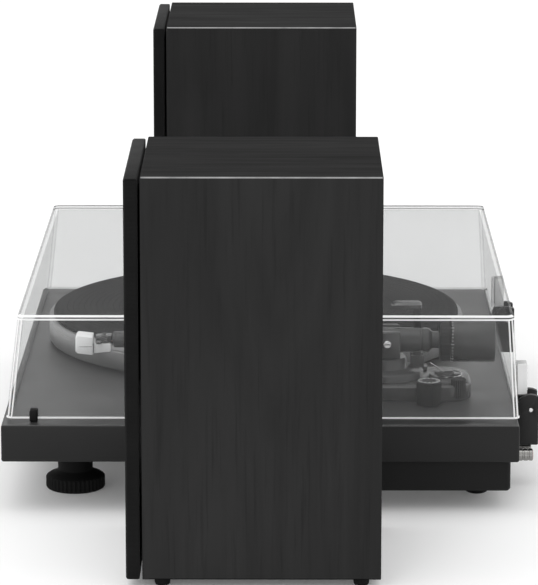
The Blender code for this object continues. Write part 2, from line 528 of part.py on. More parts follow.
def speaker(side, sign):
    x = sign * SPEAKER_X
    y0, y1 = SPEAKER_D0 + SPEAKER_BACK[side], SPEAKER_D1 + SPEAKER_BACK[side]
    w, h = SPEAKER_W / 2, (SPEAKER_Z1 - SPEAKER_Z0) / 2
    mid = (SPEAKER_Z1 + SPEAKER_Z0) / 2
    outer = rounded(-w, w, -h, h, 0.0, 0.8, 1)
    hole = rounded(-w + BOARD, w - BOARD, -h + BOARD, h - BOARD, 0.0, 0.4, 1)
    cabinet = across(f"speaker_{side}_cabinet", "vinyl_black", [
        (y1 - BOARD, hole), (y0, hole), (y0, outer), (y1, outer),
    ], x, mid)
    notch(cabinet, f"cut_{side}_terminals", (x - 28.0, x + 28.0), (y1 - 20, y1 + 5),
          (48.0, 92.0))

    front = y0 + 0.4
    panel = slab(f"speaker_{side}_baffle", "plastic_black", (x - w + BOARD + GAP, x + w - BOARD - GAP),
                 (front, front + 12.0),
                 (SPEAKER_Z0 + BOARD + GAP, SPEAKER_Z1 - BOARD - GAP))
    bore(panel, f"cut_{side}_woofer", WOOFER_R, front - 5, front + 20, (x, 0, WOOFER_Z), "Y", steps=28)
    bore(panel, f"cut_{side}_tweeter", TWEETER_R, front - 5, front + 20, (x, 0, TWEETER_Z), "Y", steps=20)

    # Loudspeaker frames sit in the holes with their rims 0.3 in front of the baffle.
    face = front - GAP
    turned(f"speaker_{side}_woofer_frame", "basket_steel", (
        (54.0, 2.2), (54.0, 0.0), (47.5, 0.0), (30.0, -38.0), (30.0, -60.0), (12.0, -60.0),
        (12.0, -38.0), (27.0, -36.0), (44.0, -1.0), (50.0, 1.0), (50.0, 2.2),
    ), (x, face, WOOFER_Z), "-Y", steps=20, closed=True)
    turned(f"speaker_{side}_woofer_cone", "cone_paper", (
        (0.0, -8.0), (8.0, -9.0), (14.0, -12.4), (38.0, 0.4), (40.5, 2.6), (43.0, 0.8),
        (42.6, -0.6), (38.2, -1.4), (16.0, -14.4), (11.0, -16.0), (11.0, -44.0), (0.0, -44.0),
    ), (x, face, WOOFER_Z), "-Y", steps=20)
    turned(f"speaker_{side}_tweeter", "cone_paper", (
        (0.0, 4.4), (4.0, 3.9), (8.0, 1.8), (10.0, 0.9), (12.0, 2.0), (24.0, 2.2), (24.0, 0.0),
        (18.5, 0.0), (18.5, -22.0), (0.0, -22.0),
    ), (x, face, TWEETER_Z), "-Y", steps=20)

    # The grille is a frame with cloth stretched over its front, open behind.
    back = y0 - GRILLE_GAP
    gh = h - GRILLE_DROP
    rim = rounded(-w, w, -h, gh, 0.0, 1.2, 2)
    slim = rounded(-w + 1.0, w - 1.0, -h + 1.0, gh - 1.0, 0.0, 1.0, 2)
    well = rounded(-w + 9.0, w - 9.0, -h + 9.0, gh - 9.0, 0.0, 1.0, 2)
    across(f"speaker_{side}_grille", "cloth_black", [
        (back - GRILLE_T + 1.8, well), (back, well), (back, rim), (back - GRILLE_T + 1.0, rim),
        (back - GRILLE_T, slim),
    ], x, mid)

    plate = slab(f"speaker_{side}_terminal_plate", "plastic_black", (x - 27.6, x + 27.6),
                 (y1 - 11.6, y1 - 8.5), (48.4, 91.6), bevel=0.8)
    for label, shift in (("a", -12.0), ("b", 12.0)):
        boss(plate, f"join_{side}_post_{label}", 4.5, y1 - 9.5, y1 - 1.0,
             (x + shift, 0, 70.0), "Y", steps=20)
    top = SPEAKER_Z0 - GAP
    for row, foot_y in (("front", y0 + SPEAKER_FOOT_IN), ("rear", y1 - SPEAKER_FOOT_IN)):
        for end, step in (("in", -sign), ("out", sign)):
            turned(f"speaker_{side}_foot_{row}_{end}", "rubber_black", (
                (0.0, top), (SPEAKER_FOOT_R, top), (SPEAKER_FOOT_R - 0.4, SHELF + 0.8), (4.0, SHELF), (0.0, SHELF),
            ), (x + step * (w - SPEAKER_FOOT_IN), foot_y, 0), steps=16)


for side, sign in SIDES:
    speaker(side, sign)
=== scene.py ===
"""Looks of the mini hifi system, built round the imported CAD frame.

Lengths are in metres, except in the profiles given to turned(), which are in millimetres.
"""
import json
import math

import bmesh
import bpy
from mathutils import Matrix, Vector


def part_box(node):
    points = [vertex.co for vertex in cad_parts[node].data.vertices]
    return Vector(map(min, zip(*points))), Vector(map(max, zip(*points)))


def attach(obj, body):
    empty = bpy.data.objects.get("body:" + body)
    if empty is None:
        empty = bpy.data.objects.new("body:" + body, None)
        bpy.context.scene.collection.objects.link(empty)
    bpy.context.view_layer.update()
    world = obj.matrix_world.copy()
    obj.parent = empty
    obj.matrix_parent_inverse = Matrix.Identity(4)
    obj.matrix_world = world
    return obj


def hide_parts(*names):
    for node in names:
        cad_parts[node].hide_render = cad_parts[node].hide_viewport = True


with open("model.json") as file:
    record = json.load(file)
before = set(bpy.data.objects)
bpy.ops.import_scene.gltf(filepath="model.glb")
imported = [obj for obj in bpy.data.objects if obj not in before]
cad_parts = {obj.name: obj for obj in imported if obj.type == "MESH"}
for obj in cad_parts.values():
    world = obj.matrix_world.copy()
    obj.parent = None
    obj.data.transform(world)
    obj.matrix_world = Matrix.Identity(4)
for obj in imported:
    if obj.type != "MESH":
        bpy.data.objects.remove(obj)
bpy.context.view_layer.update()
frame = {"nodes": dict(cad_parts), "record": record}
MM = 0.001
JOINTS = {joint["name"]: joint for joint in frame["record"]["behaviour"]["joints"]}
scene = bpy.context.scene
SIDES = (("left", -1.0), ("right", 1.0))


# ------------------------------------------------------------------ camera
# Fitted to the straight edges of the cabinets, the plinth and the lid in the photo.
CAMERA_AT = (2.5942, 0.0090, 0.6570)
CAMERA_TILT, CAMERA_PAN = 0.2106, -0.0049
LENS, SENSOR = 228.2, 36.0

camera_data = bpy.data.cameras.new("camera")
camera_data.lens = LENS
camera_data.sensor_width = SENSOR
camera_data.clip_start, camera_data.clip_end = 0.05, 60.0
camera = bpy.data.objects.new("camera", camera_data)
scene.collection.objects.link(camera)
camera.location = CAMERA_AT
heading = Vector((-math.cos(CAMERA_TILT) * math.cos(CAMERA_PAN),
                  math.cos(CAMERA_TILT) * math.sin(CAMERA_PAN), -math.sin(CAMERA_TILT)))
camera.rotation_euler = heading.to_track_quat("-Z", "Y").to_euler()
scene.camera = camera


# ------------------------------------------------------------------ materials
class Tree:
    """A short way to add nodes to one material and join them."""

    def __init__(self, name):
        self.mat = bpy.data.materials.new(name)
        self.mat.use_nodes = True
        self.nodes = self.mat.node_tree.nodes
        self.links = self.mat.node_tree.links
        self.shader = self.nodes["Principled BSDF"]
        self.out = self.nodes["Material Output"]
        self.coords = self.nodes.new("ShaderNodeTexCoord").outputs["Object"]

    def join(self, value, socket):
        if isinstance(value, bpy.types.NodeSocket):
            self.links.new(value, socket)
        else:
            socket.default_value = value

    def stretched(self, scale):
        node = self.nodes.new("ShaderNodeMapping")
        node.inputs["Scale"].default_value = scale
        self.join(self.coords, node.inputs["Vector"])
        return node.outputs[0]

    def noise(self, scale, detail=3.0, vector=None, distortion=0.0, rough=0.5):
        node = self.nodes.new("ShaderNodeTexNoise")
        node.inputs["Scale"].default_value = scale
        node.inputs["Detail"].default_value = detail
        node.inputs["Roughness"].default_value = rough
        node.inputs["Distortion"].default_value = distortion
        self.join(vector or self.coords, node.inputs["Vector"])
        return node.outputs["Fac"]

    def wave(self, scale, direction, vector=None, kind="BANDS"):
        node = self.nodes.new("ShaderNodeTexWave")
        node.wave_type = kind
        if kind == "BANDS":
            node.bands_direction = direction
        else:
            node.rings_direction = direction
        node.inputs["Scale"].default_value = scale
        self.join(vector or self.coords, node.inputs["Vector"])
        return node.outputs["Fac"]

    def height_share(self, vector):
        """The Z part of a vector."""
        split = self.nodes.new("ShaderNodeSeparateXYZ")
        self.join(vector, split.inputs[0])
        return split.outputs["Z"]

    def normal(self):
        return self.nodes.new("ShaderNodeNewGeometry").outputs["Normal"]

    def spread(self, value, low, high, start=0.3, end=0.7):
        """Map start..end of a value to low..high, clamped."""
        node = self.nodes.new("ShaderNodeMapRange")
        self.join(value, node.inputs["Value"])
        node.inputs["From Min"].default_value = start
        node.inputs["From Max"].default_value = end
        node.inputs["To Min"].default_value = low
        node.inputs["To Max"].default_value = high
        return node.outputs["Result"]

    def maths(self, kind, a, b):
        node = self.nodes.new("ShaderNodeMath")
        node.operation = kind
        self.join(a, node.inputs[0])
        self.join(b, node.inputs[1])
        return node.outputs[0]

    def blend(self, share, a, b):
        node = self.nodes.new("ShaderNodeMix")
        node.data_type = "RGBA"
        self.join(share, node.inputs["Factor"])
        for value, socket in ((a, node.inputs[6]), (b, node.inputs[7])):
            if isinstance(value, (tuple, list)):
                socket.default_value = (*value, 1.0)
            else:
                self.join(value, socket)
        return node.outputs[2]

    def bump(self, height, strength, distance):
        node = self.nodes.new("ShaderNodeBump")
        node.inputs["Strength"].default_value = strength
        node.inputs["Distance"].default_value = distance
        self.join(height, node.inputs["Height"])
        self.join(node.outputs[0], self.shader.inputs["Normal"])

    def set(self, **values):
        for label, value in values.items():
            socket = self.shader.inputs[label.replace("_", " ")]
            if isinstance(value, tuple) and len(value) == 3:
                value = (*value, 1.0)
            self.join(value, socket)


def grey(level):
    return (level, level, level)


def moulded(name, dark, light, rough, metal=0.0, specular=0.35, grain=900.0, depth=0.00005,
            patch=22.0, strength=0.15, painted_highlight=None):
    """Moulded or coated surface: slow colour variation, uneven sheen and a fine grain.

    `painted_highlight` is a paler tone painted on the faces turned upwards: a painted highlight.
    """
    tree = Tree(name)
    slow = tree.noise(patch, 4.0)
    fine = tree.noise(grain, 2.0)
    colour = tree.blend(tree.spread(slow, 0.0, 1.0), dark, light)
    if painted_highlight:
        # Painted highlight: faces turned upwards blend towards the paler tone.
        upward = tree.spread(tree.height_share(tree.normal()), 0.0, 1.0, 0.15, 0.75)
        colour = tree.blend(upward, colour, painted_highlight)
    sheen = tree.maths("ADD", tree.spread(slow, rough - 0.06, rough + 0.06),
                       tree.spread(fine, -0.012, 0.012))
    tree.set(Base_Color=colour, Roughness=sheen, Metallic=metal, Specular_IOR_Level=specular)
    tree.bump(fine, strength, depth)
    return tree.mat


def wood_vinyl(name):
    """Black wood-grain vinyl: upright grain on the sides, grain front to back on the top, where the
    colour is also darkened as painted shade.
    """
    tree = Tree(name)
    steep = tree.maths("ABSOLUTE", tree.height_share(tree.normal()), 0.0)
    on_top = tree.maths("GREATER_THAN", steep, 0.7)

    def both(scale, detail, upright, flat, distortion=0.0, rough=0.55):
        a = tree.noise(scale, detail, tree.stretched(upright), distortion, rough)
        b = tree.noise(scale, detail, tree.stretched(flat), distortion, rough)
        node = tree.nodes.new("ShaderNodeMix")
        tree.join(on_top, node.inputs["Factor"])
        tree.join(a, node.inputs[2])
        tree.join(b, node.inputs[3])
        return node.outputs[0]

    figure = both(16.0, 5.0, (1.0, 1.0, 0.16), (1.0, 0.16, 1.0), 1.6)
    pores = both(420.0, 3.0, (1.0, 1.0, 0.035), (1.0, 0.035, 1.0), 0.3)
    streak = both(95.0, 4.0, (1.0, 1.0, 0.03), (1.0, 0.03, 1.0), 0.6)
    base = tree.blend(tree.spread(figure, 0.0, 1.0, 0.33, 0.70), grey(0.0215), grey(0.0300))
    lined = tree.blend(tree.spread(streak, 0.0, 0.30, 0.48, 0.70), base, grey(0.0155))
    colour = tree.blend(tree.spread(pores, 0.0, 0.40, 0.54, 0.72), lined, grey(0.0135))
    sheen = tree.maths("ADD", tree.spread(figure, 0.50, 0.58), tree.spread(pores, -0.03, 0.08))
    # Painted shade: the top faces are darkened nine tenths of the way to near black.
    colour = tree.blend(tree.maths("MULTIPLY", on_top, 0.90), colour, grey(0.003))
    tree.set(Base_Color=colour, Roughness=sheen, Specular_IOR_Level=0.015)
    tree.bump(tree.maths("ADD", pores, streak), 0.16, 0.00008)
    return tree.mat


THREADS = 400.0


def speaker_cloth(name):
    """Woven cloth: two crossed sets of threads about 0.8 mm apart."""
    tree = Tree(name)
    warp = tree.wave(THREADS, "X")
    weft = tree.wave(THREADS, "Z")
    depthwise = tree.wave(THREADS, "Y")
    weave = tree.maths("MULTIPLY", tree.maths("MAXIMUM", warp, depthwise), weft)
    wear = tree.noise(60.0, 4.0)
    colour = tree.blend(tree.spread(weave, 0.0, 1.0, 0.1, 0.9), grey(0.0030), grey(0.0098))
    colour = tree.blend(tree.spread(wear, 0.0, 0.35), colour, grey(0.0050))
    tree.set(Base_Color=colour, Roughness=tree.spread(wear, 0.82, 0.95), Specular_IOR_Level=0.10,
             Sheen_Weight=0.06, Sheen_Roughness=0.5)
    tree.bump(weave, 0.5, 0.0002)
    return tree.mat


def turned_metal(name, dark, light, rough, centre, axis="Z", pitch=1500.0, depth=0.00002):
    """Metal turned on a lathe: fine rings round its own axis."""
    tree = Tree(name)
    node = tree.nodes.new("ShaderNodeMapping")
    node.vector_type = "POINT"
    node.inputs["Location"].default_value = [-c for c in centre]
    tree.join(tree.coords, node.inputs["Vector"])
    rings = tree.wave(pitch, axis, node.outputs[0], "RINGS")
    smear = tree.noise(35.0, 4.0)
    fine = tree.noise(1400.0, 2.0, tree.stretched((1.0, 1.0, 0.2)))
    colour = tree.blend(tree.spread(smear, 0.0, 1.0), dark, light)
    sheen = tree.maths("ADD", tree.spread(smear, rough - 0.05, rough + 0.07),
                       tree.spread(rings, -0.03, 0.03))
    tree.set(Base_Color=colour, Roughness=sheen, Metallic=1.0)
    tree.bump(tree.maths("ADD", rings, fine), 0.25, depth)
    return tree.mat


# How much of the light through the acrylic is left where it is seen at a slant.
GRAZING_LOSS = 0.885


def clear_acrylic(name, mirror, tint, haze):
    """Thin clear acrylic: mostly see-through, with a mild mirror and faint wiping haze."""
    tree = Tree(name)
    clear = tree.nodes.new("ShaderNodeBsdfTransparent")
    facing = tree.nodes.new("ShaderNodeLayerWeight").outputs["Facing"]
    slanted = tuple(level * GRAZING_LOSS for level in tint)
    tree.join(tree.blend(tree.spread(facing, 0.0, 1.0, 0.1, 0.9), tint, slanted),
              clear.inputs["Color"])
    cloud = tree.noise(9.0, 4.0, distortion=1.0)
    tree.set(Base_Color=grey(0.86), Roughness=tree.spread(cloud, 0.04, 0.12),
             Specular_IOR_Level=0.5, Metallic=0.0)
    share = tree.spread(cloud, mirror, mirror + haze)
    mix = tree.nodes.new("ShaderNodeMixShader")
    tree.join(share, mix.inputs[0])
    tree.links.new(clear.outputs[0], mix.inputs[1])
    tree.links.new(tree.shader.outputs[0], mix.inputs[2])
    tree.links.new(mix.outputs[0], tree.out.inputs["Surface"])
    return tree.mat


def circuit(name, inlet_y):
    """Green board with traces inside; the moulded inlet at its rear edge is black."""
    tree = Tree(name)
    traces = tree.noise(260.0, 0.0, tree.stretched((1.0, 0.2, 1.0)))
    split = tree.nodes.new("ShaderNodeSeparateXYZ")
    tree.join(tree.coords, split.inputs[0])
    rear = tree.maths("GREATER_THAN", split.outputs["Y"], inlet_y)
    green = tree.blend(tree.spread(traces, 0.0, 1.0, 0.48, 0.52), (0.01, 0.09, 0.03),
                       (0.03, 0.20, 0.08))
    tree.set(Base_Color=tree.blend(rear, green, grey(0.012)), Roughness=0.5)
    tree.bump(traces, 0.2, 0.0001)
    return tree.mat


VINYL = wood_vinyl("black_wood_vinyl")
# Paler tone on the rounded top edges of the cabinets: a painted highlight.
VINYL_EDGE_HIGHLIGHT = moulded("vinyl_painted_edge_highlight", grey(0.16), grey(0.30), 0.35, specular=0.5, patch=90.0)
CLOTH = speaker_cloth("speaker_cloth")
DECK = moulded("deck_film", grey(0.034), grey(0.042), 0.40, specular=0.50, grain=1500.0,
               depth=0.00001, strength=0.10)
PLINTH_SIDE = moulded("plinth_film", grey(0.0112), grey(0.0148), 0.50, specular=0.22, grain=1500.0,
                      depth=0.00003)
TRAY = moulded("tray_plastic", grey(0.0075), grey(0.0100), 0.55, specular=0.16, grain=700.0,
               depth=0.00008)
BLACK = moulded("black_plastic", grey(0.0075), grey(0.0115), 0.42, specular=0.30, grain=1200.0)
# The arm's gloss black and the weight's black carry a painted highlight on their faces turned
# upwards.
GLOSS = moulded("arm_gloss_black", grey(0.046), grey(0.058), 0.24, specular=0.45, grain=900.0,
                depth=0.00001, strength=0.08, painted_highlight=grey(0.050))
# Paler tone for the rounded upper edges of the arm parts: a painted highlight.
GLOSS_EDGE_HIGHLIGHT = moulded("arm_painted_edge_highlight", grey(0.13), grey(0.20), 0.22, specular=0.6, patch=70.0)
WEIGHT = moulded("weight_black", grey(0.040), grey(0.050), 0.30, specular=0.40, grain=900.0,
                 depth=0.00001, strength=0.08, painted_highlight=grey(0.060))
RUBBER = moulded("black_rubber", grey(0.006), grey(0.010), 0.78, specular=0.18, grain=800.0,
                 depth=0.00010)
MAT = moulded("mat_rubber", grey(0.0125), grey(0.0165), 0.80, specular=0.10, grain=400.0,
              depth=0.00002)
WHITE = moulded("cartridge_white", grey(0.93), grey(0.98), 0.32, specular=0.45, grain=900.0,
                depth=0.00002)
PALE = moulded("pale_marks", grey(0.55), grey(0.70), 0.45, specular=0.30)
MID = moulded("mid_grey_plastic", grey(0.14), grey(0.18), 0.38, specular=0.40)
RED = moulded("red_plastic", (0.35, 0.012, 0.010), (0.45, 0.020, 0.015), 0.38, specular=0.45)
STEEL = moulded("bright_steel", grey(0.55), grey(0.68), 0.22, metal=1.0, grain=1600.0,
                depth=0.00001)
NICKEL = moulded("nickel", (0.29, 0.286, 0.276), (0.40, 0.393, 0.378), 0.26, metal=1.0,
                 grain=1500.0, depth=0.00001)
BASKET = moulded("pressed_steel", grey(0.07), grey(0.10), 0.42, metal=0.8)
PAPER = moulded("cone_paper", grey(0.012), grey(0.022), 0.85, specular=0.10, grain=500.0,
                depth=0.00015)
LID_CLEAR = clear_acrylic("clear_acrylic", 0.030, (0.955, 0.957, 0.957), 0.010)
LID_SOFT = clear_acrylic("soft_acrylic_edge", 0.06, (0.985, 0.987, 0.987), 0.03)
LID_BLOCK = clear_acrylic("clear_socket", 0.05, (0.97, 0.97, 0.97), 0.03)
# Near-white opaque lines on the lid's edges: a painted highlight.
LID_EDGE_HIGHLIGHT = moulded("painted_edge_highlight", grey(0.86), grey(0.95), 0.18, specular=0.6, grain=300.0,
                   depth=0.00001, patch=60.0)


# ------------------------------------------------------------------ mesh helpers
def box_of(node):
    """The low corner, high corner and middle of a CAD node."""
    low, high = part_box(node)
    return low, high, (low + high) / 2


def piece(name, bm, material, body, stands_for=(), smooth=35.0):
    """Finish a bmesh made in the row frame as a piece that rides on a body."""
    bmesh.ops.recalc_face_normals(bm, faces=bm.faces)
    mesh = bpy.data.meshes.new(name)
    bm.to_mesh(mesh)
    bm.free()
    for face in mesh.polygons:
        face.use_smooth = True
    mesh.set_sharp_from_angle(angle=math.radians(smooth))
    obj = bpy.data.objects.new(name, mesh)
    scene.collection.objects.link(obj)
    for each in material if isinstance(material, (list, tuple)) else (material,):
        mesh.materials.append(each)
    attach(obj, body)
    if stands_for:
        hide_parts(*stands_for)
    return obj


def body_of(node):
    """The body that a CAD node belongs to in the record."""
    for name, nodes in frame["record"]["behaviour"]["bodies"].items():
        if node in nodes:
            return name
    raise KeyError(node)


def bevel_edges(bm, width, segments=2, angle=30.0):
    """Round the edges of a bmesh that turn more than an angle."""
    limit = math.radians(angle)
    edges = [e for e in bm.edges if len(e.link_faces) == 2 and e.calc_face_angle(0.0) > limit]
    bmesh.ops.bevel(bm, geom=edges, offset=width, segments=segments, profile=0.5,
                    affect="EDGES", clamp_overlap=True)


def refined(node, width, material, segments=2, angle=40.0, smooth=35.0):
    """The CAD node's own shape with its flats merged and its edges rounded."""
    bm = bmesh.new()
    bm.from_mesh(frame["nodes"][node].data)
    bmesh.ops.remove_doubles(bm, verts=bm.verts, dist=1e-6)
    bmesh.ops.dissolve_limit(bm, angle_limit=math.radians(1.0), verts=bm.verts, edges=bm.edges)
    if width:
        bevel_edges(bm, width, segments, angle)
    return piece(node + "_shell", bm, material, body_of(node), (node,), smooth)


TURN = {"Z": Matrix.Identity(4), "Y": Matrix.Rotation(-math.pi / 2, 4, "X"),
        "-Y": Matrix.Rotation(math.pi / 2, 4, "X"), "X": Matrix.Rotation(math.pi / 2, 4, "Y")}


def spin(bm, profile, centre, axis="Z", steps=64, closed=False, ribs=0, depth=0.0):
    """Turn a profile of (radius, height[, ribbed]) in metres round an axis through a point."""
    matrix = Matrix.Translation(centre) @ TURN[axis]
    rings = []
    count = ribs * 4 if ribs else steps
    for row in profile:
        r, z = row[0], row[1]
        ribbed = len(row) > 2 and row[2]
        if r < 1e-7:
            rings.append([bm.verts.new(matrix @ Vector((0.0, 0.0, z)))])
            continue
        ring = []
        for i in range(count):
            a = 2 * math.pi * i / count
            reach = r - (depth if ribbed and i % 4 in (2, 3) else 0.0)
            point = Vector((reach * math.cos(a), reach * math.sin(a), z))
            ring.append(bm.verts.new(matrix @ point))
        rings.append(ring)
    pairs = list(zip(rings, rings[1:]))
    if closed:
        pairs.append((rings[-1], rings[0]))
    for low, high in pairs:
        if len(low) == 1 and len(high) == 1:
            continue
        for i in range(count):
            j = (i + 1) % count
            if len(low) == 1:
                bm.faces.new((low[0], high[j], high[i]))
            elif len(high) == 1:
                bm.faces.new((low[i], low[j], high[0]))
            else:
                bm.faces.new((low[i], low[j], high[j], high[i]))
    return bm


def turned(name, profile, centre, material, body, axis="Z", stands_for=(), steps=64, closed=False,
           ribs=0, depth=0.0, smooth=35.0):
    """A piece turned from a profile in millimetres; rows marked True carry the ribs."""
    bm = spin(bmesh.new(), [(r * MM, z * MM, *rest) for r, z, *rest in profile], centre, axis,
              steps, closed, ribs, depth * MM)
    return piece(name, bm, material, body, stands_for, smooth)


def block(bm, low, high, width=0.0, segments=2):
    """Add one box, with rounded edges, to a bmesh."""
    made = bmesh.ops.create_cube(bm, size=1.0)["verts"]
    low, high = Vector(low), Vector(high)
    for v in made:
        v.co = Vector([lo + (hi - lo) * (c + 0.5) for lo, hi, c in zip(low, high, v.co)])
    if width:
        edges = {e for v in made for e in v.link_edges}
        bmesh.ops.bevel(bm, geom=list(edges), offset=width, segments=segments, profile=0.5,
                        affect="EDGES", clamp_overlap=True)
    return bm


def mark(bm, turn, at, size):
    """Add a small flat box to a bmesh, centred at a point of a turned frame."""
    for v in bmesh.ops.create_cube(bm, size=1.0)["verts"]:
        v.co = turn @ Vector([middle + c * width for middle, c, width in zip(at, v.co, size)])


def turns(centre, axis, count):
    """Frames at equal steps round an axis through a point."""
    for k in range(count):
        yield Matrix.Translation(centre) @ Matrix.Rotation(2 * math.pi * k / count, 4, axis)


def rounded(x0, x1, y0, y1, z, r, steps):
    """The points of a level rectangle with rounded corners."""
    points = []
    corners = ((x1 - r, y1 - r, 0), (x0 + r, y1 - r, 1), (x0 + r, y0 + r, 2), (x1 - r, y0 + r, 3))
    for cx, cy, quarter in corners:
        for k in range(steps + 1):
            a = math.pi / 2 * (quarter + k / steps)
            points.append((cx + r * math.cos(a), cy + r * math.sin(a), z))
    return points


def skin(bm, loops, closed=False, caps=True):
    """Faces through matching loops of points."""
    rings = [[bm.verts.new(p) for p in loop] for loop in loops]
    pairs = list(zip(rings, rings[1:]))
    if closed:
        pairs.append((rings[-1], rings[0]))
    count = len(rings[0])
    for low, high in pairs:
        for i in range(count):
            j = (i + 1) % count
            bm.faces.new((low[i], low[j], high[j], high[i]))
    if caps and not closed:
        bm.faces.new(rings[0])
        bm.faces.new(rings[-1])
    return bm


def wire(name, points, radius, material, body, steps=10):
    """A thin round rod through points, as a mesh."""
    bm = bmesh.new()
    points = [Vector(p) for p in points]
    loops = []
    for i, p in enumerate(points):
        ahead = points[min(i + 1, len(points) - 1)] - points[max(i - 1, 0)]
        side = ahead.cross(Vector((0.31, 0.17, 0.93))).normalized()
        up = side.cross(ahead).normalized()
        loops.append([p + (side * math.cos(a) + up * math.sin(a)) * radius
                      for a in [2 * math.pi * k / steps for k in range(steps)]])
    skin(bm, loops)
    return piece(name, bm, material, body)


# ------------------------------------------------------------------ loudspeakers
EDGE_BAND = 0.0010
SCREW = ((0.0, 0.0006), (0.0022, 0.0004), (0.0026, -0.0006), (0.0, -0.0006))
for side, _ in SIDES:
    part = f"speaker_{side}_"
    cabinet = refined(part + "cabinet", 0.0008, [VINYL, VINYL_EDGE_HIGHLIGHT], segments=3, angle=60.0)
    cabinet_top = box_of(part + "cabinet")[1].z
    # Painted highlight: the rounded top edges along both long sides take the paler edge tone.
    for face in cabinet.data.polygons:
        if (face.center.z > cabinet_top - EDGE_BAND and abs(face.normal.x) > 0.25
                and abs(face.normal.y) < 0.25):
            face.material_index = 1
    refined(part + "grille", 0.0009, CLOTH, segments=3, angle=60.0)
    refined(part + "terminal_plate", 0.0, BLACK)
    low, high, mid = box_of(part + "terminal_plate")
    for label, shift, colour in (("red", -12.0, RED), ("black", 12.0, BLACK)):
        turned(f"{part}post_cap_{label}", (
            (0.0, 7.3), (2.2, 7.3), (2.2, 6.0), (4.6, 6.0), (6.0, 5.2, True), (6.0, -0.8, True),
            (5.0, -1.6), (0.0, -1.6),
        ), Vector((mid.x + shift * MM, high.y - 7.5 * MM, mid.z + 0.0005)), colour, "base", "Y",
            ribs=18, depth=0.5)
    bm = bmesh.new()
    for sx in (-1, 1):
        for sz in (-1, 1):
            spot = Vector((mid.x + sx * 0.0235, high.y - 0.0076, mid.z + sz * 0.0175))
            spin(bm, SCREW, spot, "Y", 20)
    piece(part + "plate_screws", bm, STEEL, "base")
    for spot in ("front_in", "front_out", "rear_in", "rear_out"):
        node = part + "foot_" + spot
        low, high, mid = box_of(node)
        turned(node + "_pad", (
            (0.0, 5.9), (5.0, 5.9), (5.0, 3.4), (4.7, 1.0), (4.2, 0.2), (3.6, 0.0), (0.0, 0.0),
        ), Vector((mid.x, mid.y, low.z)), RUBBER, "base", stands_for=(node,), steps=32)

# ------------------------------------------------------------------ plinth, tray and feet
plinth = refined("plinth", 0.0, [PLINTH_SIDE, DECK])
for face in plinth.data.polygons:
    face.material_index = 1 if face.normal.z > 0.75 else 0
refined("base_tray", 0.0005, TRAY, segments=1, angle=60.0)
for side, _ in SIDES:
    low, high, mid = box_of("front_foot_" + side)
    turned("front_foot_" + side + "_ribbed", (
        (0.0, 48.0), (3.9, 48.0), (3.9, 33.4), (11.8, 33.4), (11.8, 14.4), (12.1, 13.2),
        (13.2, 12.2), (15.4, 11.3), (18.0, 10.2), (19.4, 9.2), (20.0, 8.4, True),
        (20.0, 1.8, True), (19.4, 0.9), (17.8, 0.0), (0.0, 0.0),
    ), Vector((mid.x, mid.y, low.z)), RUBBER, f"front_foot_{side}_body",
        stands_for=("front_foot_" + side,), ribs=40, depth=1.0, smooth=28.0)
    low, high, mid = box_of("rear_foot_" + side)
    turned("rear_foot_" + side + "_pad", (
        (0.0, 12.7), (8.5, 12.7), (8.5, 6.0), (8.2, 2.6), (7.2, 0.8), (5.6, 0.0), (0.0, 0.0),
    ), Vector((mid.x, mid.y, low.z)), RUBBER, "base", stands_for=("rear_foot_" + side,), steps=48)

# ------------------------------------------------------------------ platter and mat
low, high, mid = box_of("platter")
hub = Vector((mid.x, mid.y, low.z))
thick = (high.z - low.z) / MM
PLATTER_METAL = turned_metal("turned_aluminium", grey(0.28), grey(0.36), 0.42, hub)
turned("platter_turned", (
    (3.9, thick), (147.5, thick), (149.4, thick - 0.1), (150.2, thick - 0.5), (150.5, thick - 1.4),
    (150.5, thick - 3.2), (150.1, thick - 3.6), (150.1, thick - 4.2), (150.5, thick - 4.6),
    (150.5, 1.2), (150.0, 0.3), (149.4, 0.0), (143.5, 0.0), (142.5, 12.2), (100.0, 12.2),
    (100.0, 2.4), (95.0, 2.4), (94.0, 12.2), (22.0, 12.2), (16.0, 0.6), (3.9, 0.6),
), hub, PLATTER_METAL, "platter_body", stands_for=("platter",), steps=144, closed=True)

low, high, mid = box_of("platter_mat")
hub = Vector((mid.x, mid.y, low.z))
top = (high.z - low.z) / MM
FIRST_GROOVE, GROOVE_PITCH, GROOVE_DEPTH, GROOVES = 49.4, 4.2, 0.25, 22
rows = [(3.9, top - 1.4), (47.6, top - 1.4), (48.4, top - 0.2)]
for k in range(GROOVES):
    start = FIRST_GROOVE + k * GROOVE_PITCH
    rows += [(start, top), (start + 2.9, top), (start + 3.25, top - GROOVE_DEPTH),
             (start + 3.85, top - GROOVE_DEPTH)]
rows += [(142.6, top), (145.2, top - 0.5), (146.6, top - 1.4), (147.0, top - 2.4), (147.0, 0.0),
         (3.9, 0.0)]
turned("mat_ribbed", rows, hub, MAT, "platter_body", stands_for=("platter_mat",), steps=128,
       closed=True, smooth=30.0)

low, high, mid = box_of("spindle")
length = (high.z - low.z) / MM
turned("spindle_pin", (
    (0.0, length), (1.3, length - 0.2), (2.3, length - 1.1), (3.1, length - 3.0),
    (3.5, length - 5.6), (3.55, length - 8.0), (3.55, 0.0), (0.0, 0.0),
), Vector((mid.x, mid.y, low.z)), STEEL, "platter_body", stands_for=("spindle",), steps=40)

# ------------------------------------------------------------------ tonearm
axis_x = box_of("counterweight")[2].x
pivot = Vector(JOINTS["tonearm_lift"]["pos_m"])


def edged(node, width, angle):
    """A refined arm part whose rounded upper edges take a paler tone: a painted highlight along the
    edges.
    """
    part = refined(node, width, [GLOSS, GLOSS_EDGE_HIGHLIGHT], segments=2, angle=angle, smooth=32.0)
    # The narrow bevel faces turned upwards take the painted edge highlight.
    for face in part.data.polygons:
        narrow = min((part.data.vertices[a].co - part.data.vertices[b].co).length
                     for a, b in face.edge_keys) < width
        if narrow and 0.25 < face.normal.z < 0.96:
            face.material_index = 1
    return part


